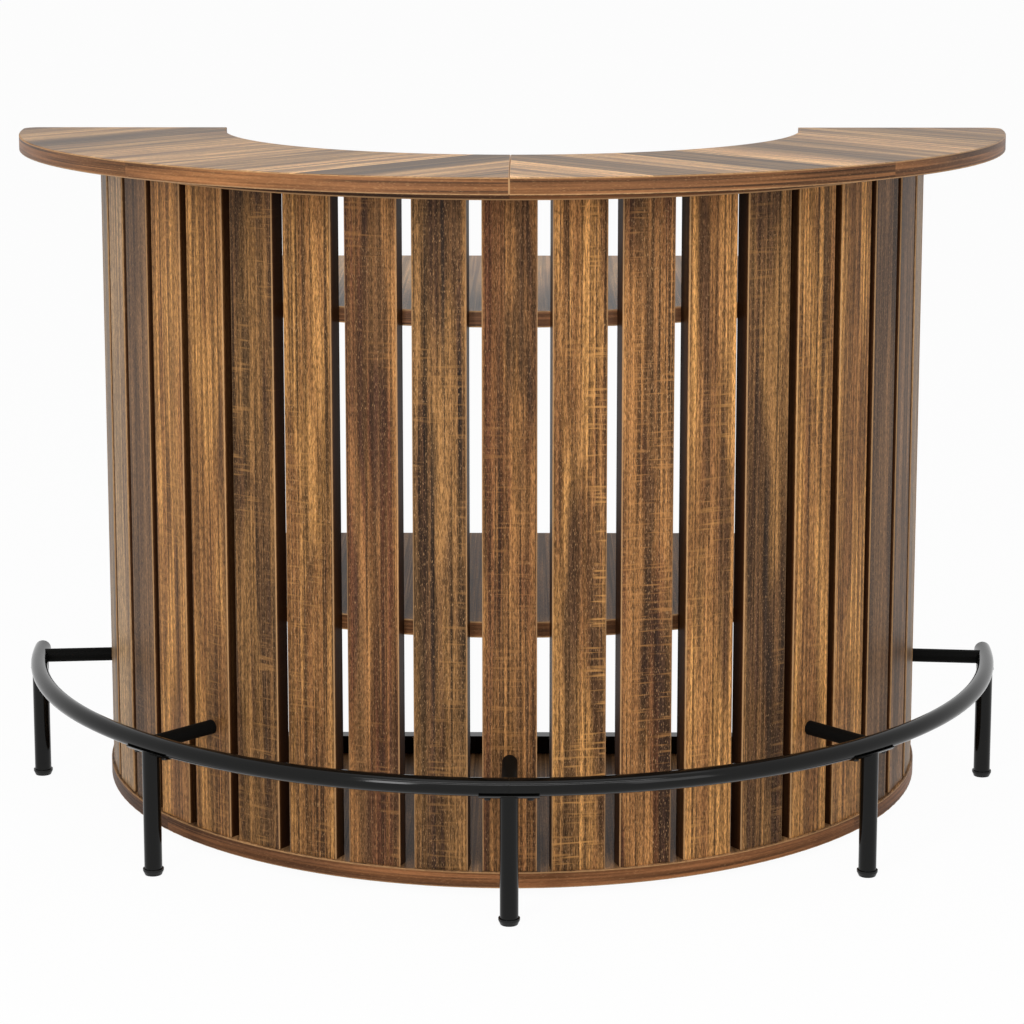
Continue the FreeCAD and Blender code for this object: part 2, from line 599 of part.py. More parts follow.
def write_parts():
    doc.recompute()
    failed = [thing.Label for thing in doc.Objects if {"Invalid", "Error"} & set(thing.State)]
    if failed:
        raise RuntimeError(f"failed objects: {failed}")
    for label, thing in nodes.items():
        if thing.Shape.isNull() or not thing.Shape.isValid() or not thing.Shape.Solids:
            raise RuntimeError(f"bad shape: {label}")
    os.makedirs("parts", exist_ok=True)
    for label, thing in nodes.items():
        thing.Shape.exportStep(f"parts/{label}.step")
    print(len(nodes), "nodes,", sum(len(thing.Shape.Solids) for thing in nodes.values()), "solids")


make_top()
make_upper_plate()
make_shelves(make_slats())
make_brackets()
make_base()
make_rear_bar()
make_rail()
make_legs()
make_leg_caps()
make_stand_offs()
make_levelling_feet()
make_screws()
write_parts()
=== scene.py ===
import math
from typing import NamedTuple

import bpy
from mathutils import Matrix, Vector


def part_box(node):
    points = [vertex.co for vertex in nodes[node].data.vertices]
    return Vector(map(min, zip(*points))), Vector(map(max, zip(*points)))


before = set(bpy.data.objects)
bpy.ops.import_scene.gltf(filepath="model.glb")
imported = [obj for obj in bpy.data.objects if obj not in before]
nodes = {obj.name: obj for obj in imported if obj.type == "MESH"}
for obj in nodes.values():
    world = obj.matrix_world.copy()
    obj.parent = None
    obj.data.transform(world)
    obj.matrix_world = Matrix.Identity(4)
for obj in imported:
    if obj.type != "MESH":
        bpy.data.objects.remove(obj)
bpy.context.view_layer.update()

# Places, sizes and counts taken from the part, in metres and degrees
ARC_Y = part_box("base_plate")[1].y
TOP_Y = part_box("top_board_left")[1].y
TOP_RADIUS = 0.800
BASE_RADIUS = 0.673
SLAT_FACE_RADIUS = 0.668
SHELF_RADIUS = 0.643
SLAT_HALF_WIDTH = 0.040
MIDDLE_SLAT = 11
SLATS_BESIDE_MIDDLE = 3
MIDDLE_SLAT_ANGLE = 8.74
JOINT_SLAT_ANGLE = 8.48
SIDE_SLAT_ANGLE = 8.3
LEGS = range(1, 6)


def tone(red, green, blue):
    """Linear colour from everyday 0 to 255 values."""
    def linear(value):
        value /= 255
        return value / 12.92 if value <= 0.04045 else ((value + 0.055) / 1.055) ** 2.4
    return (linear(red), linear(green), linear(blue), 1.0)


# Wood palettes: pale, middle and dark tone of a plank
GOLDEN = (tone(205, 149, 86), tone(132, 90, 54), tone(52, 37, 29))
SAND = (tone(182, 146, 104), tone(121, 93, 68), tone(68, 51, 39))
RUSSET = (tone(184, 130, 76), tone(99, 62, 41), tone(38, 31, 27))
UMBER = (tone(184, 134, 80), tone(92, 64, 45), tone(36, 32, 28))
SMOKE = (tone(147, 109, 74), tone(86, 62, 43), tone(46, 35, 27))
TOP_WOOD = (tone(208, 164, 112), tone(150, 114, 80), tone(84, 65, 52))
TOP_BAND = (tone(166, 113, 71), tone(106, 70, 44), tone(44, 33, 25))
BASE_WOOD = (tone(142, 94, 59), tone(92, 61, 41), tone(46, 33, 25))
SHELF_WOOD = (tone(172, 128, 84), tone(112, 81, 54), tone(58, 43, 32))

# Single tones
ARRIS = tone(196, 152, 106)
# Painted shade on the sides and back of each slat
PAINTED_SIDE_SHADE = tone(86, 48, 23)
# Painted shade deep in the gaps between slats
PAINTED_GAP_SHADE = tone(30, 14, 6)
STEEL_PAINT = tone(9, 9, 8)
DULL_PAINT = tone(10, 10, 9)
PLASTIC = tone(24, 24, 24)
ZINC = tone(190, 190, 186)
BLACK_OXIDE = tone(52, 51, 50)
FLOOR_GREY = (0.88, 0.88, 0.88, 1)
WHITE = (1, 1, 1, 1)


class PlankLook(NamedTuple):
    """Palette and seed of a plank, how strongly its marks show, and how light it is as a whole."""
    palette: tuple
    seed: float
    streaks: float
    saw_marks: float
    specks: float
    shade: float = 1.0


# Each slat from the left rear end to the right rear end, in the order of PlankLook's values
SLAT_LOOKS = [
    PlankLook(SMOKE, 3.1, 0.6, 0.3, 0.3, 0.88),
    PlankLook(SAND, 8.4, 0.6, 0.3, 0.3, 0.76),
    PlankLook(SAND, 12.7, 0.6, 0.6, 0.3, 1.22),
    PlankLook(SMOKE, 17.2, 0.7, 0.5, 0.5, 0.95),
    PlankLook(GOLDEN, 21.9, 0.7, 0.6, 0.4, 1.1),
    PlankLook(GOLDEN, 26.3, 0.9, 0.5, 0.4, 0.94),
    PlankLook(UMBER, 31.8, 0.8, 0.8, 0.6, 0.64),
    PlankLook(GOLDEN, 35.5, 1.0, 0.5, 0.6, 0.78),
    PlankLook(RUSSET, 41.1, 0.8, 0.6, 0.5, 0.98),
    PlankLook(UMBER, 45.6, 1.0, 0.5, 0.6, 0.68),
    PlankLook(RUSSET, 53.9, 1.0, 0.5, 0.6, 0.84),
    PlankLook(GOLDEN, 57.7, 1.0, 1.2, 0.6, 0.88),
    PlankLook(RUSSET, 63.2, 1.0, 1.0, 0.7, 0.86),
    PlankLook(GOLDEN, 66.8, 0.9, 0.9, 0.5, 1.08),
    PlankLook(UMBER, 72.9, 0.9, 0.5, 0.7, 0.8),
    PlankLook(GOLDEN, 77.4, 1.0, 0.5, 0.5, 0.98),
    PlankLook(GOLDEN, 83.6, 0.8, 0.4, 0.4, 1.08),
    PlankLook(SMOKE, 88.1, 0.7, 0.4, 0.5, 0.9),
    PlankLook(SMOKE, 92.5, 0.6, 0.3, 0.3, 0.94),
    PlankLook(SAND, 97.3, 0.6, 0.3, 0.3, 0.88),
    PlankLook(SMOKE, 102.6, 0.6, 0.3, 0.3, 0.88),
]


class GrainLayer(NamedTuple):
    """Noise with so many features per metre across and along a plank, none at low and full at high."""
    across: float
    along: float
    low: float
    high: float
    shift: float = 0.0
    detail: float = 2.0
    roughness: float = 0.5
    distortion: float = 0.0


# Layers of a plank's grain, how strongly each acts, and the wood's roughness and bump
PALE_ZONE = GrainLayer(across=26, along=2.0, low=0.42, high=0.58, distortion=0.6)
PALE_RAY = GrainLayer(across=150, along=2.4, low=0.40, high=0.60, shift=17.6)
DARK_BAND = GrainLayer(across=34, along=1.5, low=0.50, high=0.66, shift=11.3, distortion=0.4)
DARK_STRIPE = GrainLayer(across=300, along=2.0, low=0.50, high=0.64, shift=14.8)
THREAD = GrainLayer(across=210, along=2.5, low=0.38, high=0.62, shift=19.2, detail=1.0)
FIBRE = GrainLayer(across=780, along=110, low=0.36, high=0.64, shift=23.9, roughness=0.75)
SPECK = GrainLayer(across=950, along=190, low=0.61, high=0.71, shift=37.1, detail=1.0)
SAW_MARK = GrainLayer(across=16, along=230, low=0.54, high=0.70, shift=49.7, detail=1.0)
WORN_PATCH = GrainLayer(across=16, along=3.0, low=0.46, high=0.60, shift=58.3, detail=1.0)
PALE_ZONE_SHARE = 0.56
PALE_RAY_SHARE = 0.24
DARK_BAND_SHARE = 0.8
DARK_STRIPE_SHARE = 0.75
THREAD_SHADES = (0.66, 1.3)
FIBRE_SWING = 0.55
SAW_MARK_SHARE = 0.5
SAW_MARK_HEIGHT = 0.4
WOOD_ROUGHNESS = (0.32, 0.52)
WOOD_BUMP = 0.25
WOOD_BUMP_DEPTH = 0.0006

# Boards on the flat faces and pieces of the edge bands: widths in metres, and turns of the grain in degrees
FACE_BOARD = 0.095
BAND_PIECE = 0.62
CHEVRON_TURN = 48
PLATE_TURN = 0
SHELF_TURN = 90

# Steps between the seeds of neighbouring boards, and between a board's face and its band
BOARD_SEED_STEP = 3.7
TOP_BAND_STEP = 5.0
PLATE_BAND_STEP = 1.4
SHELF_BAND_STEP = 2.6

# Contrast between boards, grit of the fibres, and gloss
BOARD_CONTRAST = 0.2
TOP_CONTRAST = 0.7
SLAT_GRIT = 1.0
FACE_GRIT = 0.5
BAND_GRIT = 0.2
SLAT_GLOSS = 0.1
BOARD_GLOSS = 0.12

# Light lines on edges, and painted shade on slat sides and in the gaps: widths and depths in metres, and how
# strongly they show
LINE_CORE = 0.6
BOARD_RIM_WIDTH = 0.0024
SEAM_WIDTH = 0.0016
BOARD_LINE_SHARE = 0.8
SLAT_RIM_WIDTH = 0.0019
SLAT_RIM_DEPTHS = (0.0014, 0.002)
SLAT_RIM_SHARE = 0.7
# Painted shade on the sides and back of each slat, and deeper in the gaps between slats
SLAT_SIDE_DEPTHS = (0.0016, 0.003)
SLAT_SIDE_SHARE = 0.75
GAP_DEPTHS = (0.0015, 0.006)
GAP_SHARE = 0.78
BACK_EDGE_DEPTH = 0.001
FLAT_FACE_SLOPES = (0.6, 0.8)

# Paint and plating: features per metre, noise seeds, and spans of tone and roughness
PEEL_COUNT = 900
PEEL_SEED = 4.0
GLOSS_PATCH_COUNT = 30
GLOSS_PATCH_SEED = 9.0
PAINT_ROUGHNESS = (0.07, 0.14)
PAINT_GLOSS = 0.2
PAINT_BUMP = 0.015
PAINT_BUMP_DEPTH = 0.0003
MOTTLE_COUNT = 140
MOTTLE_SEED = 5.0
MOTTLE_SHADES = (0.82, 1.1)
MOTTLE_ROUGHNESS = (0.28, 0.48)

# Studio: floor in metres, and light as a share of plain white
FLOOR_SIZE = 120
FLOOR_WHITE_SHARE = 0.96
SOFT_LIGHT = 0.42

# Lamps: name, place, aim, width and height in metres, and power in watts
LAMPS = [
    ("overhead_softbox", (0.2, -0.5, 3.4), (0, 0, 1.0), 3.0, 2.0, 16),
    ("front_strip_high", (0, -2.6, 3.4), (0, 0, 0.4), 4.5, 0.26, 34),
    ("front_strip_low", (0, -3.2, 2.5), (0, 0, 0.4), 4.5, 0.26, 28),
    ("key_softbox", (-2.2, -4.2, 2.0), (0, 0, 0.6), 0.8, 1.6, 54),
    ("fill_softbox", (2.8, -3.8, 1.8), (0, 0, 0.6), 1.6, 2.2, 26),
]

# Camera: film and lens in millimetres, place in metres, angles in degrees
FILM_WIDTH = 36.0
LENS = 104.42
LENS_SHIFT = -0.14
CAMERA_X = 0.028
CAMERA_DISTANCE = 4.876
CAMERA_HEIGHT = 1.496
CAMERA_DIP = 9.58
CAMERA_TURN = 0.336
VIEW_DEPTH = 300


def slat_angle(place_in_row):
    """Degrees from the middle slat to another, counted to the right."""
    steps = abs(place_in_row)
    if steps <= SLATS_BESIDE_MIDDLE:
        angle = steps * MIDDLE_SLAT_ANGLE
    else:
        angle = (SLATS_BESIDE_MIDDLE * MIDDLE_SLAT_ANGLE + JOINT_SLAT_ANGLE
                 + (steps - SLATS_BESIDE_MIDDLE - 1) * SIDE_SLAT_ANGLE)
    return math.copysign(angle, place_in_row)


# Shader building blocks

# A Mix node has its own two inputs and its own output for each kind of data
MIX_SOCKETS = {"VECTOR": (4, 5, 1), "RGBA": (6, 7, 2)}


def put(tree, kind, inputs=None, **settings):
    """Adds a shader node; an input may be a value or another node's output."""
    node = tree.nodes.new(kind)
    for name, value in settings.items():
        setattr(node, name, value)
    for name, value in (inputs or {}).items():
        socket = node.inputs[name]
        if isinstance(value, bpy.types.NodeSocket):
            tree.links.new(value, socket)
        else:
            socket.default_value = value
    return node


def calculate(tree, operation, first, second=0.0):
    return put(tree, "ShaderNodeMath", {0: first, 1: second}, operation=operation).outputs[0]


def plus(tree, first, second):
    return calculate(tree, "ADD", first, second)


def minus(tree, first, second):
    return calculate(tree, "SUBTRACT", first, second)


def times(tree, first, second):
    return calculate(tree, "MULTIPLY", first, second)


def split(tree, vector):
    """The X, Y and Z of a vector."""
    return put(tree, "ShaderNodeSeparateXYZ", {0: vector}).outputs


def join(tree, x, y, z):
    return put(tree, "ShaderNodeCombineXYZ", {0: x, 1: y, 2: z}).outputs[0]


def blend(tree, factor, first, second, kind="RGBA"):
    """Goes from the first colour or vector to the second as the factor goes from 0 to 1."""
    low, high, result = MIX_SOCKETS[kind]
    return put(tree, "ShaderNodeMix", {0: factor, low: first, high: second}, data_type=kind).outputs[result]


def scale_colour(tree, colour, factor):
    return put(tree, "ShaderNodeVectorMath", {0: colour, "Scale": factor}, operation="SCALE").outputs[0]


def step_up(tree, value, low, high):
    """Rises smoothly from 0 at low to 1 at high."""
    return put(tree, "ShaderNodeMapRange", {"Value": value, "From Min": low, "From Max": high},
               interpolation_type="SMOOTHSTEP").outputs[0]


def spread(tree, value, low, high):
    """Stretches 0 to 1 over a new span."""
    return put(tree, "ShaderNodeMapRange", {"Value": value, "To Min": low, "To Max": high}).outputs[0]


def cloud(tree, vector, stretch, seed, detail, roughness=0.5, distortion=0.0):
    """Noise whose features are 1 / stretch metres wide along each axis."""
    stretched = put(tree, "ShaderNodeVectorMath", {0: vector, 1: stretch}, operation="MULTIPLY").outputs[0]
    noise = put(tree, "ShaderNodeTexNoise",
                {"Vector": stretched, "W": seed, "Scale": 1.0, "Detail": detail, "Roughness": roughness,
                 "Distortion": distortion}, noise_dimensions="4D")
    return noise.outputs[0]


def even_cloud(tree, vector, count, seed, detail):
    """Noise with the same number of features per metre along each axis."""
    return cloud(tree, vector, (count, count, count), seed, detail)


def start_group(name, inputs, outputs):
    """New shader group with named sockets: (tree, its inputs, its output node)."""
    tree = bpy.data.node_groups.new(name, "ShaderNodeTree")
    for label, kind, default in inputs:
        socket = tree.interface.new_socket(label, in_out="INPUT", socket_type=f"NodeSocket{kind}")
        if default is not None:
            socket.default_value = default
    for label, kind in outputs:
        tree.interface.new_socket(label, in_out="OUTPUT", socket_type=f"NodeSocket{kind}")
    return tree, tree.nodes.new("NodeGroupInput").outputs, tree.nodes.new("NodeGroupOutput")


def put_out(tree, out, **results):
    """Links a group's results to its outputs."""
    for label, result in results.items():
        tree.links.new(result, out.inputs[label])


def use_group(tree, group, inputs=None):
    return put(tree, "ShaderNodeGroup", inputs, node_tree=group).outputs


# Shared effects

def make_plank_grain():
    """Sawn plank with its grain along Z: tone zones, dark streaks, fibres, light specks and saw marks."""
    tree, given, out = start_group(
        "plank_grain",
        [("Vector", "Vector", None), ("Seed", "Float", 0.0), ("Pale", "Color", ARRIS),
         ("Middle", "Color", ARRIS), ("Dark", "Color", ARRIS), ("Streaks", "Float", 0.5),
         ("Saw Marks", "Float", 0.5), ("Specks", "Float", 0.5), ("Grit", "Float", 1.0),
         ("Shade", "Float", 1.0)],
        [("Color", "Color"), ("Roughness", "Float"), ("Height", "Float")])

    def noise(layer):
        stretch = (layer.across, layer.across, layer.along)
        seed = plus(tree, given["Seed"], layer.shift)
        return cloud(tree, given["Vector"], stretch, seed, layer.detail, layer.roughness, layer.distortion)

    def mask(layer):
        return step_up(tree, noise(layer), layer.low, layer.high)

    zones = times(tree, mask(PALE_ZONE), PALE_ZONE_SHARE)
    rays = times(tree, mask(PALE_RAY), PALE_RAY_SHARE)
    colour = blend(tree, plus(tree, zones, rays), given["Middle"], given["Pale"])

    bands = times(tree, mask(DARK_BAND), DARK_BAND_SHARE)
    stripes = times(tree, mask(DARK_STRIPE), DARK_STRIPE_SHARE)
    dark = times(tree, calculate(tree, "MAXIMUM", bands, stripes), given["Streaks"])
    colour = blend(tree, dark, colour, given["Dark"])

    threads = spread(tree, mask(THREAD), *THREAD_SHADES)
    fibre = noise(FIBRE)
    swing = spread(tree, step_up(tree, fibre, FIBRE.low, FIBRE.high), -FIBRE_SWING, FIBRE_SWING)
    stipple = plus(tree, times(tree, swing, given["Grit"]), 1.0)
    shade = times(tree, times(tree, threads, stipple), given["Shade"])
    colour = scale_colour(tree, colour, shade)

    specks = times(tree, mask(SPECK), given["Specks"])
    colour = blend(tree, specks, colour, ARRIS)

    saw_marks = times(tree, times(tree, mask(SAW_MARK), mask(WORN_PATCH)), given["Saw Marks"])
    colour = blend(tree, times(tree, saw_marks, SAW_MARK_SHARE), colour, given["Pale"])

    put_out(tree, out, Color=colour, Roughness=spread(tree, fibre, *WOOD_ROUGHNESS),
            Height=plus(tree, fibre, times(tree, saw_marks, SAW_MARK_HEIGHT)))
    return tree


def make_arc_coordinates():
    """Turns a place into height, radius and length along the arc, or along X on the straight back edge."""
    tree, given, out = start_group(
        "arc_coordinates",
        [("Vector", "Vector", None), ("Axis Y", "Float", 0.4), ("Radius", "Float", 0.7),
         ("Back Y", "Float", 0.4)],
        [("Vector", "Vector")])
    x, y, z = split(tree, given["Vector"])
    towards_front = minus(tree, given["Axis Y"], y)
    along = times(tree, calculate(tree, "ARCTAN2", x, towards_front), given["Radius"])
    squares = plus(tree, calculate(tree, "POWER", x, 2.0), calculate(tree, "POWER", towards_front, 2.0))
    bent = join(tree, z, calculate(tree, "SQRT", squares), along)
    straight = join(tree, z, y, x)
    at_back = calculate(tree, "GREATER_THAN", y, minus(tree, given["Back Y"], BACK_EDGE_DEPTH))
    put_out(tree, out, Vector=blend(tree, at_back, bent, straight, "VECTOR"))
    return tree


def make_board_coordinates():
    """Turns a place on a flat board into distances across and along its grain."""
    tree, given, out = start_group("board_coordinates", [("Vector", "Vector", None), ("Turn", "Float", 0.0)],
                                   [("Vector", "Vector")])
    turned = put(tree, "ShaderNodeVectorRotate", {"Vector": given["Vector"], "Angle": given["Turn"]},
                 rotation_type="Z_AXIS").outputs[0]
    x, y, z = split(tree, turned)
    put_out(tree, out, Vector=join(tree, y, z, x))
    return tree


def make_plank_row():
    """Boards side by side: a seed and a shade that jump from one board to the next."""
    tree, given, out = start_group(
        "plank_row",
        [("Distance", "Float", 0.0), ("Board Width", "Float", 0.1), ("Seed", "Float", 0.0),
         ("Spread", "Float", 0.2)],
        [("Seed", "Float"), ("Shade", "Float")])
    count = calculate(tree, "FLOOR", calculate(tree, "DIVIDE", given["Distance"], given["Board Width"]))
    seed = plus(tree, given["Seed"], times(tree, count, BOARD_SEED_STEP))
    chance = put(tree, "ShaderNodeTexWhiteNoise", {"W": seed}, noise_dimensions="1D").outputs["Value"]
    change = times(tree, spread(tree, chance, -1.0, 1.0), given["Spread"])
    put_out(tree, out, Seed=seed, Shade=plus(tree, change, 1.0))
    return tree


def make_flat_face_mask():
    """One on faces that look up or down, nought on upright ones."""
    tree, _, out = start_group("flat_face_mask", [], [("Mask", "Float")])
    _, _, upward = split(tree, put(tree, "ShaderNodeNewGeometry").outputs["True Normal"])
    put_out(tree, out, Mask=step_up(tree, calculate(tree, "ABSOLUTE", upward), *FLAT_FACE_SLOPES))
    return tree


def make_powder_coat():
    """Fine orange peel of sprayed paint, with faint uneven gloss."""
    tree, given, out = start_group("powder_coat", [("Vector", "Vector", None)],
                                   [("Roughness", "Float"), ("Height", "Float")])
    peel = even_cloud(tree, given["Vector"], PEEL_COUNT, PEEL_SEED, detail=1.0)
    patches = even_cloud(tree, given["Vector"], GLOSS_PATCH_COUNT, GLOSS_PATCH_SEED, detail=2.0)
    put_out(tree, out, Roughness=spread(tree, patches, *PAINT_ROUGHNESS), Height=peel)
    return tree


def make_edge_line():
    """Mask of two thin lines, just inside the low and the high limit of a value."""
    tree, given, out = start_group(
        "edge_line",
        [("Value", "Float", 0.0), ("Low", "Float", 0.0), ("High", "Float", 0.0), ("Width", "Float", 0.002)],
        [("Mask", "Float")])
    from_low = calculate(tree, "ABSOLUTE", minus(tree, given["Value"], given["Low"]))
    from_high = calculate(tree, "ABSOLUTE", minus(tree, given["High"], given["Value"]))
    nearest = calculate(tree, "MINIMUM", from_low, from_high)
    outside = step_up(tree, nearest, times(tree, given["Width"], LINE_CORE), given["Width"])
    put_out(tree, out, Mask=minus(tree, 1.0, outside))
    return tree


def make_slat_edges():
    """Light line on a slat's front corners, painted shade on its sides and back, and deeper painted shade in
    the gaps.
    """
    tree, given, out = start_group("slat_edges", [("Vector", "Vector", None)],
                                   [("Rim", "Float"), ("Sides", "Float"), ("Gap", "Float")])
    across, inward, _ = split(tree, given["Vector"])
    line = use_group(tree, EDGE_LINE, {"Value": across, "Low": -SLAT_HALF_WIDTH, "High": SLAT_HALF_WIDTH,
                                       "Width": SLAT_RIM_WIDTH})["Mask"]
    front = minus(tree, 1.0, step_up(tree, inward, *SLAT_RIM_DEPTHS))
    # Painted shade that deepens into the gaps between slats
    depth = times(tree, step_up(tree, inward, *GAP_DEPTHS), GAP_SHARE)
    # Sides is painted shade on the sides and back, Gap is deeper painted shade in the gaps
    put_out(tree, out, Rim=times(tree, times(tree, line, front), SLAT_RIM_SHARE),
            Sides=times(tree, step_up(tree, inward, *SLAT_SIDE_DEPTHS), SLAT_SIDE_SHARE),
            Gap=times(tree, line, depth))
    return tree


def make_metal_mottle():
    """Uneven tone and gloss of plated steel."""
    tree, given, out = start_group("metal_mottle", [("Vector", "Vector", None), ("Tone", "Color", ARRIS)],
                                   [("Color", "Color"), ("Roughness", "Float")])
    patches = even_cloud(tree, given["Vector"], MOTTLE_COUNT, MOTTLE_SEED, detail=3.0)
    put_out(tree, out, Color=scale_colour(tree, given["Tone"], spread(tree, patches, *MOTTLE_SHADES)),
            Roughness=spread(tree, patches, *MOTTLE_ROUGHNESS))
    return tree


PLANK_GRAIN = make_plank_grain()
ARC_COORDINATES = make_arc_coordinates()
BOARD_COORDINATES = make_board_coordinates()
PLANK_ROW = make_plank_row()
FLAT_FACE_MASK = make_flat_face_mask()
POWDER_COAT = make_powder_coat()
EDGE_LINE = make_edge_line()
SLAT_EDGES = make_slat_edges()
METAL_MOTTLE = make_metal_mottle()


# Materials

def start_material(name, **plain):
    """New material: (material, tree, object coordinates, its surface shader)."""
    material = bpy.data.materials.new(name)
    material.use_nodes = True
    tree = material.node_tree
    shader = tree.nodes["Principled BSDF"]
    for label, value in plain.items():
        shader.inputs[label.replace("_", " ")].default_value = value
    place = put(tree, "ShaderNodeTexCoord").outputs["Object"]
    return material, tree, place, shader


def add_bump(tree, shader, height, strength, depth):
    bump = put(tree, "ShaderNodeBump", {"Height": height, "Strength": strength, "Distance": depth})
    tree.links.new(bump.outputs[0], shader.inputs["Normal"])


def finish_wood(tree, shader, colour, grain):
    tree.links.new(colour, shader.inputs["Base Color"])
    tree.links.new(grain["Roughness"], shader.inputs["Roughness"])
    add_bump(tree, shader, grain["Height"], WOOD_BUMP, WOOD_BUMP_DEPTH)


def plank(tree, vector, look, grit):
    pale, middle, dark = look.palette
    return use_group(tree, PLANK_GRAIN, {
        "Vector": vector, "Seed": look.seed, "Pale": pale, "Middle": middle, "Dark": dark,
        "Streaks": look.streaks, "Saw Marks": look.saw_marks, "Specks": look.specks, "Grit": grit,
        "Shade": look.shade})


def slat_material(number, look):
    """Upright plank, with its pattern set out from the middle of its own front face."""
    angle = math.radians(slat_angle(number - MIDDLE_SLAT))
    material, tree, place, shader = start_material(f"slat_{number:02d}_wood", Specular_IOR_Level=SLAT_GLOSS)
    face = (SLAT_FACE_RADIUS * math.sin(angle), ARC_Y - SLAT_FACE_RADIUS * math.cos(angle), 0.0)
    local = put(tree, "ShaderNodeMapping", {"Vector": place, "Location": face, "Rotation": (0, 0, angle)},
                vector_type="TEXTURE").outputs[0]
    grain = plank(tree, local, look, SLAT_GRIT)
    edges = use_group(tree, SLAT_EDGES, {"Vector": local})
    colour = blend(tree, edges["Rim"], grain["Color"], ARRIS)
    # Painted shade on the slat's sides and back
    colour = blend(tree, edges["Sides"], colour, PAINTED_SIDE_SHADE)
    # Deeper painted shade in the gaps between slats
    colour = blend(tree, edges["Gap"], colour, PAINTED_GAP_SHADE)
    finish_wood(tree, shader, colour, grain)
    return material


def board_row(tree, vector, distance, width, look, contrast, grit):
    """Grain of boards laid side by side, each as wide as the width given."""
    row = use_group(tree, PLANK_ROW, {
        "Distance": distance, "Board Width": width, "Seed": look.seed, "Spread": contrast})
    return plank(tree, vector, look._replace(seed=row["Seed"], shade=row["Shade"]), grit)


def board_material(node, face_look, band_look, turn, axis_y, radius, seam=False, gloss=BOARD_GLOSS,
                   contrast=BOARD_CONTRAST):
    """Flat board with straight grain on its faces and an edge band whose grain runs round the arc."""
    material, tree, place, shader = start_material(f"{node}_wood", Specular_IOR_Level=gloss)
    flat = use_group(tree, FLAT_FACE_MASK)["Mask"]
    board = use_group(tree, BOARD_COORDINATES, {"Vector": place, "Turn": math.radians(turn)})["Vector"]
    arc = use_group(tree, ARC_COORDINATES, {
        "Vector": place, "Axis Y": axis_y, "Radius": radius, "Back Y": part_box(node)[1].y})["Vector"]
    across_board, _, _ = split(tree, board)
    _, _, along_arc = split(tree, arc)
    face = board_row(tree, board, across_board, FACE_BOARD, face_look, contrast, FACE_GRIT)
    band = board_row(tree, arc, along_arc, BAND_PIECE, band_look, BOARD_CONTRAST, BAND_GRIT)
    colour = blend(tree, flat, band["Color"], face["Color"])
    x, _, z = split(tree, place)
    low, high = (corner.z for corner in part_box(node))
    rim = use_group(tree, EDGE_LINE, {"Value": z, "Low": low, "High": high, "Width": BOARD_RIM_WIDTH})["Mask"]
    line = times(tree, rim, minus(tree, 1.0, flat))
    if seam:
        near_seam = use_group(tree, EDGE_LINE, {"Value": x, "Width": SEAM_WIDTH})["Mask"]
        line = calculate(tree, "MAXIMUM", line, near_seam)
    colour = blend(tree, times(tree, line, BOARD_LINE_SHARE), colour, ARRIS)
    finish_wood(tree, shader, colour, face)
    return material


def black_steel():
    """Satin black paint of the rail, the legs and the rear bar."""
    material, tree, place, shader = start_material("satin_black_steel", Base_Color=STEEL_PAINT,
                                                   Specular_IOR_Level=PAINT_GLOSS)
    coat = use_group(tree, POWDER_COAT, {"Vector": place})
    tree.links.new(coat["Roughness"], shader.inputs["Roughness"])
    add_bump(tree, shader, coat["Height"], PAINT_BUMP, PAINT_BUMP_DEPTH)
    return material


def matte_black(name, colour, gloss, dullness):
    """Black finish that is rougher than the paint, for plastic pieces and for the stand-off bars."""
    material, tree, place, shader = start_material(name, Base_Color=colour, Specular_IOR_Level=gloss)
    coat = use_group(tree, POWDER_COAT, {"Vector": place})
    tree.links.new(plus(tree, coat["Roughness"], dullness), shader.inputs["Roughness"])
    return material


def plated_steel(name, colour):
    """Zinc plate or black oxide of brackets, screws and inserts."""
    material, tree, place, shader = start_material(name, Metallic=1.0)
    mottle = use_group(tree, METAL_MOTTLE, {"Vector": place, "Tone": colour})
    tree.links.new(mottle["Color"], shader.inputs["Base Color"])
    tree.links.new(mottle["Roughness"], shader.inputs["Roughness"])
    return material


# Finishes on the pieces

def dress(name, material):
    for slot in nodes[name].material_slots:
        slot.material = material


def dress_wood():
    for number, look in enumerate(SLAT_LOOKS, 1):
        dress(f"slat_{number:02d}", slat_material(number, look))
    for side, turn, seed in (("left", -CHEVRON_TURN, 131.2), ("right", CHEVRON_TURN, 147.9)):
        node = f"top_board_{side}"
        face = PlankLook(TOP_WOOD, seed, streaks=0.9, saw_marks=0.0, specks=0.1)
        band = PlankLook(TOP_BAND, seed + TOP_BAND_STEP, streaks=0.9, saw_marks=0.1, specks=0.3)
        dress(node, board_material(node, face, band, turn, TOP_Y, TOP_RADIUS, seam=True,
                                   contrast=TOP_CONTRAST))
    for section, seed in (("left", 161.3), ("middle", 164.9), ("right", 168.2)):
        node = f"upper_plate_{section}"
        face = PlankLook(BASE_WOOD, seed, streaks=0.6, saw_marks=0.1, specks=0.2)
        band = PlankLook(BASE_WOOD, seed + PLATE_BAND_STEP, streaks=0.7, saw_marks=0.1, specks=0.2)
        dress(node, board_material(node, face, band, PLATE_TURN, ARC_Y, BASE_RADIUS))
    for node, palette, radius, seed, gloss in (("base_plate", SHELF_WOOD, BASE_RADIUS, 173.8, 0.05),
                                               ("upper_shelf", TOP_WOOD, SHELF_RADIUS, 185.9, 0.2),
                                               ("lower_shelf", SHELF_WOOD, SHELF_RADIUS, 191.4, 0.06)):
        face = PlankLook(palette, seed, streaks=0.6, saw_marks=0.1, specks=0.1)
        band = PlankLook(BASE_WOOD, seed + SHELF_BAND_STEP, streaks=0.7, saw_marks=0.1, specks=0.2)
        dress(node, board_material(node, face, band, SHELF_TURN, ARC_Y, radius, gloss=gloss))


def one_per_leg(piece):
    return [f"{piece}_{number}" for number in LEGS]


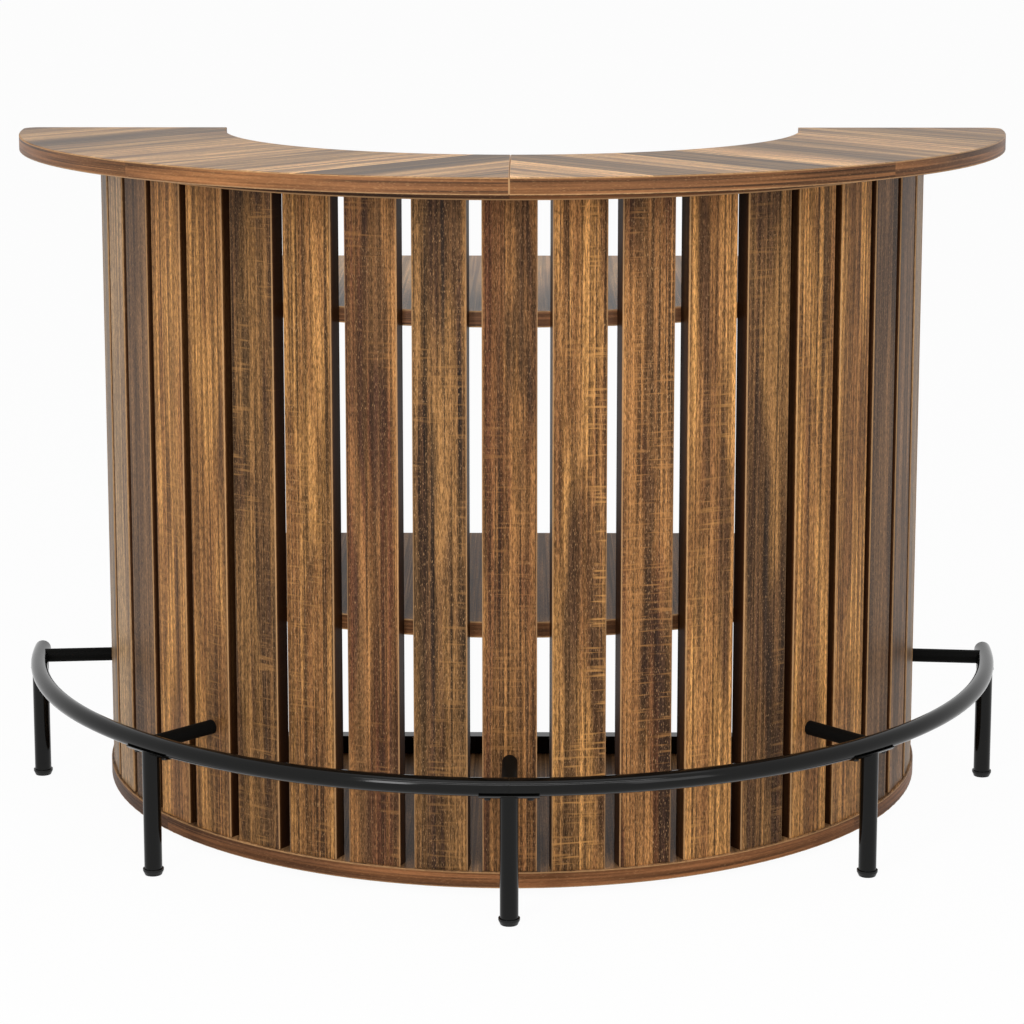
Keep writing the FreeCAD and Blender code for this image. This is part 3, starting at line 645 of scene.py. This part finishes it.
def dress_steel_and_plastic():
    finishes = [
        (black_steel(), ["rear_bar", "foot_rail_left", "foot_rail_right", *one_per_leg("leg")]),
        (matte_black("matte_black_steel", DULL_PAINT, gloss=0.05, dullness=0.5), one_per_leg("stand_off")),
        (matte_black("moulded_black_plastic", PLASTIC, gloss=0.2, dullness=0.25),
         ["leg_caps", "rail_end_plugs", *one_per_leg("levelling_foot")]),
        (plated_steel("zinc_plate", ZINC),
         ["levelling_inserts", "base_screws", "bar_screws", "upper_plate_screws", "top_board_screws",
          "shelf_brackets", "bracket_screws"]),
        (plated_steel("black_oxide", BLACK_OXIDE), ["saddle_screws", "stand_off_bolts", "rail_joiner"]),
    ]
    for material, names in finishes:
        for name in names:
            dress(name, material)


# Floor, light and camera

def white_ray(tree):
    """One for rays that should meet the plain white studio, seen or mirrored."""
    path = put(tree, "ShaderNodeLightPath").outputs
    seen = calculate(tree, "MAXIMUM", path["Is Camera Ray"], path["Is Glossy Ray"])
    return calculate(tree, "MAXIMUM", seen, path["Is Transmission Ray"])


def make_floor():
    """White floor that keeps a little of the table's shadow."""
    bpy.ops.object.select_all(action="DESELECT")
    bpy.ops.mesh.primitive_plane_add(size=FLOOR_SIZE)
    floor = bpy.context.object
    floor.name = "floor"
    material = bpy.data.materials.new("studio_floor")
    material.use_nodes = True
    tree = material.node_tree
    tree.nodes.remove(tree.nodes["Principled BSDF"])
    matte = put(tree, "ShaderNodeBsdfDiffuse", {"Color": FLOOR_GREY}).outputs[0]
    lit = put(tree, "ShaderNodeEmission", {"Color": WHITE, "Strength": 1.0}).outputs[0]
    share = times(tree, white_ray(tree), FLOOR_WHITE_SHARE)
    mixed = put(tree, "ShaderNodeMixShader", {0: share, 1: matte, 2: lit}).outputs[0]
    tree.links.new(mixed, tree.nodes["Material Output"].inputs["Surface"])
    floor.data.materials.append(material)


def make_world():
    """White where it is seen or mirrored, and a softer light on the table."""
    world = bpy.data.worlds.new("studio")
    bpy.context.scene.world = world
    world.use_nodes = True
    tree = world.node_tree
    soft = tree.nodes["Background"]
    soft.inputs["Color"].default_value = WHITE
    soft.inputs["Strength"].default_value = SOFT_LIGHT
    white = put(tree, "ShaderNodeBackground", {"Color": WHITE, "Strength": 1.0}).outputs[0]
    mixed = put(tree, "ShaderNodeMixShader", {0: white_ray(tree), 1: soft.outputs[0], 2: white}).outputs[0]
    tree.links.new(mixed, tree.nodes["World Output"].inputs["Surface"])


def add_to_scene(name, data):
    holder = bpy.data.objects.new(name, data)
    bpy.context.scene.collection.objects.link(holder)
    return holder


def make_lamps():
    for name, place, aim, width, height, power in LAMPS:
        lamp = bpy.data.lights.new(name, "AREA")
        lamp.shape = "RECTANGLE"
        lamp.size = width
        lamp.size_y = height
        lamp.energy = power
        holder = add_to_scene(name, lamp)
        holder.location = place
        holder.rotation_euler = (Vector(aim) - Vector(place)).to_track_quat("-Z", "Y").to_euler()


def make_camera():
    camera = bpy.data.cameras.new("camera")
    camera.sensor_width = FILM_WIDTH
    camera.lens = LENS
    camera.shift_y = LENS_SHIFT
    camera.clip_end = VIEW_DEPTH
    holder = add_to_scene("camera", camera)
    holder.location = (CAMERA_X, TOP_Y - CAMERA_DISTANCE, CAMERA_HEIGHT)
    holder.rotation_euler = (math.radians(90 - CAMERA_DIP), 0, math.radians(CAMERA_TURN))
    bpy.context.scene.camera = holder


dress_wood()
dress_steel_and_plastic()
make_floor()
make_world()
make_lamps()
make_camera()
bpy.context.scene.view_settings.view_transform = "Standard"
